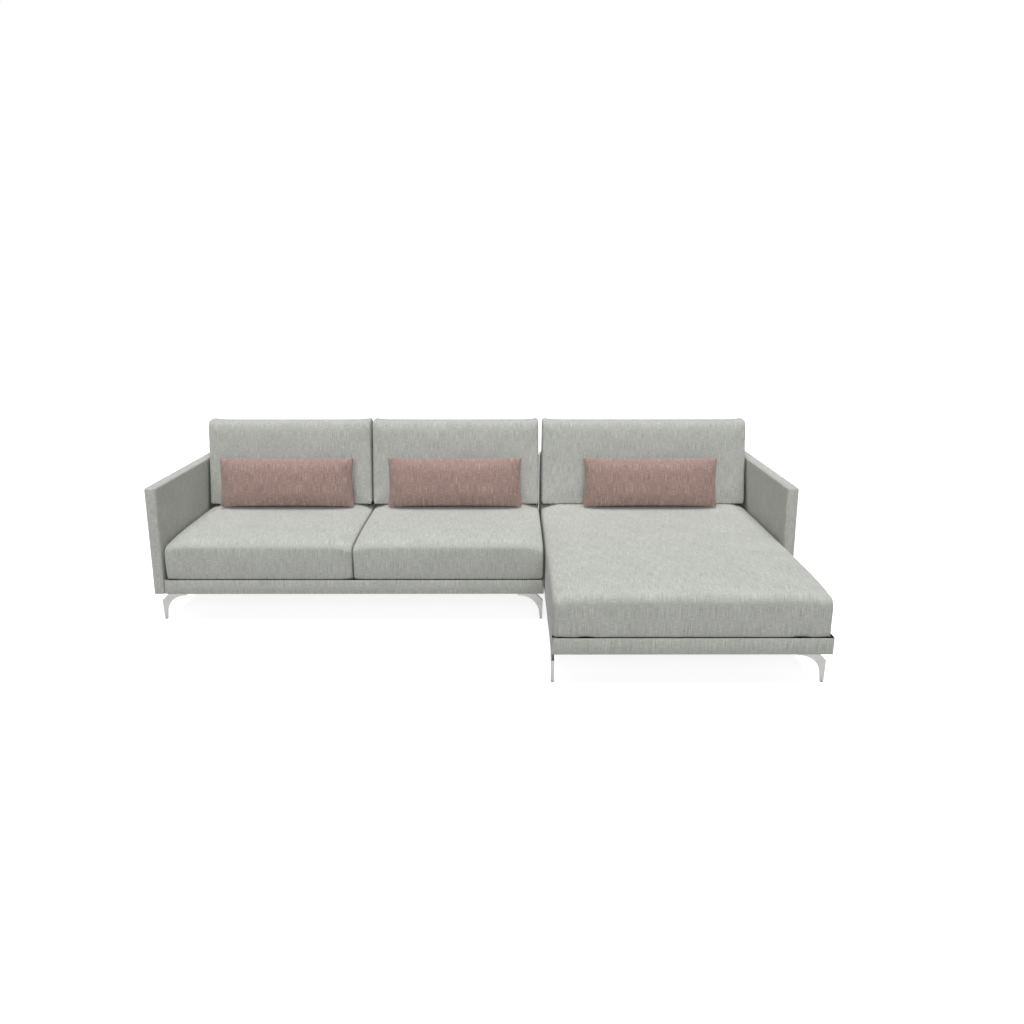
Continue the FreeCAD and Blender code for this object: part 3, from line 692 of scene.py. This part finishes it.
def blown_up(piece, pressure, stiffness):
    """The points of the piece after a short time as cloth under pressure, without weight."""
    modifier = piece.modifiers.new("Cloth", "CLOTH")
    settings = modifier.settings
    settings.quality = cloth_quality
    settings.mass = cloth_mass
    settings.tension_stiffness = settings.compression_stiffness = stiffness
    settings.shear_stiffness = stiffness / 2
    settings.bending_stiffness = cloth_bending
    settings.use_pressure = True
    settings.uniform_pressure_force = pressure
    settings.effector_weights.gravity = 0
    modifier.point_cache.frame_start = 1
    modifier.point_cache.frame_end = cloth_frames
    scene = bpy.context.scene
    for number in range(1, cloth_frames + 1):
        scene.frame_set(number)
    points = points_of(piece.evaluated_get(bpy.context.evaluated_depsgraph_get()))
    piece.modifiers.remove(modifier)
    scene.frame_set(1)
    return points


def swell(piece, pressure, cap, stiffness=15):
    """Blows the piece up as cloth, then tames the movement.

    Foam holds a cushion's form, so large movements come down to the cap, and seams hardly draw in."""
    start = points_of(piece)
    outward = np.zeros(start.size)
    piece.data.vertices.foreach_get("normal", outward)
    outward = outward.reshape(-1, 3)
    moved = blown_up(piece, pressure, stiffness) - start
    far = np.linalg.norm(moved, axis=1, keepdims=True)
    tamed = moved * cap * np.tanh(far / free_movement) / np.maximum(far, 1e-9)
    inward = (moved * outward).sum(axis=1, keepdims=True) < 0
    put_points(piece, start + tamed * np.where(inward, seam_give, 1))
    print(piece.name, "moved by up to", round(float(far.max()) * 1000, 1), "mm, tamed to", cap * 1000)


print("swelling ready")

# %% [markdown]
# ## Seat cushions
#
# A box seat cushion has a crowned top that falls a little towards its front and its ends, a full round
# front edge, and a front face that bulges. Its front corners and its front's foot are drawn back. Where
# two cushions meet, their sides press flat, and so does the underside on the deck.

# %% The form of a seat cushion
seat_end_drop = 0.020
seat_corner_drop = 0.012
seat_front_drop = 0.013
seat_corner_draw = 0.012
seat_foot_draw = 0.006
seat_foot = 0.030
seat_side_press = 0.014
seat_deck_press = 0.013
seat_side_gap = 0.0004
seat_rear_gap = 0.001
deck_gap = 0.0003


def crown_seat(points, low, high):
    """Lowers the top towards its ends and front, and draws back the front's corners and foot."""
    x, y, z = points.T
    end = np.minimum(x - low.x, high.x - x)
    nose = y - low.y
    up = np.clip((z - low.z) / (high.z - low.z), 0, 1)
    at_end = (seat_end_drop + seat_corner_drop * ramp(nose, 0.5)) * ramp(end, 0.11)
    points[:, 2] -= up * (at_end + seat_front_drop * ramp(nose, 0.30))
    points[:, 1] += seat_corner_draw * ramp(end, 0.10) * ramp(nose, 0.10)
    points[:, 1] += seat_foot_draw * ramp(z - low.z, 0.07) * ramp(nose, 0.08)


def press_seat(points, low, high):
    """Presses the foot's sides and the underside flat, and keeps the cushion in its box."""
    x, y, z = points.T
    foot = (z < low.z + seat_foot) & (y > low.y + seat_foot)
    points[foot & (x < low.x + seat_side_press), 0] = low.x
    points[foot & (x > high.x - seat_side_press), 0] = high.x
    points[z < low.z + seat_deck_press, 2] = low.z
    points[:, 0] = np.clip(points[:, 0], low.x + seat_side_gap, high.x - seat_side_gap)
    points[:, 1] = np.minimum(points[:, 1], high.y - seat_rear_gap)
    points[:, 2] = np.clip(points[:, 2], low.z + deck_gap, high.z)


print("seat form ready")

# %% Seat cushions
seat_swell = 0.008
seat_start_inset = seat_swell * 0.8
seat_front_round = 0.036
start_side_inset = 0.001
start_rear_inset = 0.003
box_pressure = 4


def seat(name, node, spacing):
    low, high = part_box(node)
    piece = block(
        name,
        (low.x + start_side_inset, low.y + seat_start_inset, low.z),
        (high.x - start_side_inset, high.y - start_rear_inset, high.z - seat_start_inset),
    )
    pick(piece, "EDGE", lambda p, d: p.y < low.y + 0.02 and p.z > high.z - 0.02)
    sew(piece, seat_front_round, 6, spacing)
    reshape(piece, crown_seat, low, high)
    swell(piece, box_pressure, seat_swell)
    reshape(piece, press_seat, low, high)
    soften(piece, 60)
    return piece


for place, spacing in (("left", 0.012), ("middle", 0.012), ("chaise", 0.014)):
    cover = "seat_" + place
    cushion = seat(cover + "_cushion", cover + "_cover", spacing)
    dress(cushion, "sofa", "grey_fabric", [cover + "_cover", cover + "_foam"])

# %% [markdown]
# ## Back cushions
#
# The back cushions are boxes that thin towards their top, with a full front. Their top edge dips a
# little between the corners, where the seams hold the cloth up in small ears. Their rear lies against
# the sloping front of the low back.

# %% The form of a back cushion
back_rear_slope = 0.0524
low_back_front = 0.6825
low_back_foot = 0.218
low_back_gap = 0.0008
ear_height = 0.009
ear_reach = 0.09
top_dip = 0.002
top_narrower = 0.002
top_room = 0.004


def ear_back(points, low, high):
    """Dips the top edge between its corners and narrows the cushion a little towards its top."""
    x, _, z = points.T
    end = np.minimum(x - low.x, high.x - x)
    up = np.clip((z - low.z) / (high.z - low.z), 0, 1)
    points[:, 2] += up**4 * (ear_height * ramp(end, ear_reach) - top_dip)
    points[:, 0] += np.sign((low.x + high.x) / 2 - x) * top_narrower * up


def press_back(points, low, high):
    """Keeps the cushion between its neighbours, on the seat and in front of the low back."""
    points[:, 0] = np.clip(points[:, 0], low.x, high.x)
    points[:, 2] = np.clip(points[:, 2], low.z + deck_gap, high.z + top_room)
    rear = low_back_front + (points[:, 2] - low_back_foot) * back_rear_slope
    points[:, 1] = np.minimum(points[:, 1], rear - low_back_gap)


print("back form ready")

# %% Back cushions
back_swell = 0.008
back_front = 0.5177
back_foot_depth = 0.180
back_front_slope = 0.165
back_top_round = 0.032
back_spacing = 0.010
start_foot_inset = 0.001
start_top_inset = 0.005


def back(name, node):
    low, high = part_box(node)
    tall = high.z - low.z
    rear = back_front + back_foot_depth - back_swell
    piece = block(
        name,
        (low.x + start_side_inset, back_front, low.z + start_foot_inset),
        (high.x - start_side_inset, rear, high.z - start_top_inset),
    )
    y, z = (back_front + rear) / 2, (low.z + high.z) / 2
    shift(piece, lambda p, n: p.z > z and p.y > y, y=tall * back_rear_slope)
    shift(piece, lambda p, n: p.z > z and p.y < y, y=tall * back_front_slope + back_swell)
    shift(piece, lambda p, n: p.z < z and p.y < y, y=back_swell)
    pick(piece, "EDGE", lambda p, d: p.z > high.z - 0.02 and abs(d.x) > 0.9)
    sew(piece, back_top_round, 5, back_spacing)
    reshape(piece, ear_back, low, high)
    swell(piece, box_pressure, back_swell)
    reshape(piece, press_back, low, high)
    soften(piece, 60)
    return piece


for place in ("left", "middle", "chaise"):
    cover = "back_" + place
    cushion = back(cover + "_cushion", cover + "_cover")
    dress(cushion, "sofa", "grey_fabric", [cover + "_cover", cover + "_filling"])

# %% [markdown]
# ## Lumbar cushions
#
# A lumbar cushion is two flat panels sewn together round their edge and stuffed, so it is thick in the
# middle, thin at its seam, pulled in along its sides and pointed at its corners. A flat bag blown up as
# cloth folds up at this size, so the cushion starts as the lens that it becomes and swells only a little.

# %% The form of a lumbar cushion
lumbar_size = (0.700, 0.116, 0.257)
lumbar_half_seam = 0.003
lumbar_half_loft = 0.046
lumbar_end_draw = 0.006
lumbar_side_draw = 0.004
lumbar_lean = radians(10)
lumbar_settle = (0, 0.010, 0.010)


def stuff_lumbar(points):
    """Turns a thin slab round the origin into a lens with drawn-in sides."""
    x, y, z = (points / np.abs(points).max(0)).T
    full = (1 - np.abs(x) ** 6) ** 0.7 * (1 - np.abs(z) ** 2.8) ** 0.62
    points[:, 1] = np.sign(y) * (lumbar_half_seam + lumbar_half_loft * full)
    points[:, 0] -= np.sign(x) * lumbar_end_draw * (np.abs(x) > 0.5) * (1 - z**2) * np.abs(x) ** 8
    points[:, 2] -= np.sign(z) * lumbar_side_draw * (1 - x**2) * np.abs(z) ** 6


def lean_lumbar(points, middle):
    """Brings the cushion to its size, leans it back and puts it in its place."""
    size = points.max(0) - points.min(0)
    points *= np.array(lumbar_size) / size
    _, y, z = points.T.copy()
    points[:, 1] = y * cos(lumbar_lean) + z * sin(lumbar_lean)
    points[:, 2] = z * cos(lumbar_lean) - y * sin(lumbar_lean)
    points += np.array(middle) + np.array(lumbar_settle)
    print("size before scaling", (size * 1000).round(), "mm")


print("lumbar form ready")

# %% Lumbar cushions
lumbar_swell = 0.007
lumbar_pressure = 5
lumbar_stiffness = 25
cuts_along = 99
cuts_up = 39


def lumbar(name, node):
    middle = [(a + b) / 2 for a, b in zip(*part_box(node))]
    half_width, half_tall = lumbar_size[0] / 2, lumbar_size[2] / 2
    piece = block(
        name, (-half_width, -lumbar_half_seam, -half_tall), (half_width, lumbar_half_seam, half_tall)
    )
    pick(piece, "EDGE", lambda p, d: abs(d.x) > 0.9)
    bpy.ops.mesh.subdivide(number_cuts=cuts_along)
    pick(piece, "EDGE", lambda p, d: abs(d.z) > 0.9)
    bpy.ops.mesh.subdivide(number_cuts=cuts_up)
    bpy.ops.object.mode_set(mode="OBJECT")
    reshape(piece, stuff_lumbar)
    swell(piece, lumbar_pressure, lumbar_swell, lumbar_stiffness)
    reshape(piece, lean_lumbar, middle)
    soften(piece, 70)
    return piece


for place in ("left", "middle", "chaise"):
    cover = "lumbar_" + place
    cushion = lumbar(cover + "_cushion", cover + "_cover")
    dress(cushion, cover, "rose_fabric", [cover + "_cover", cover + "_filling"])
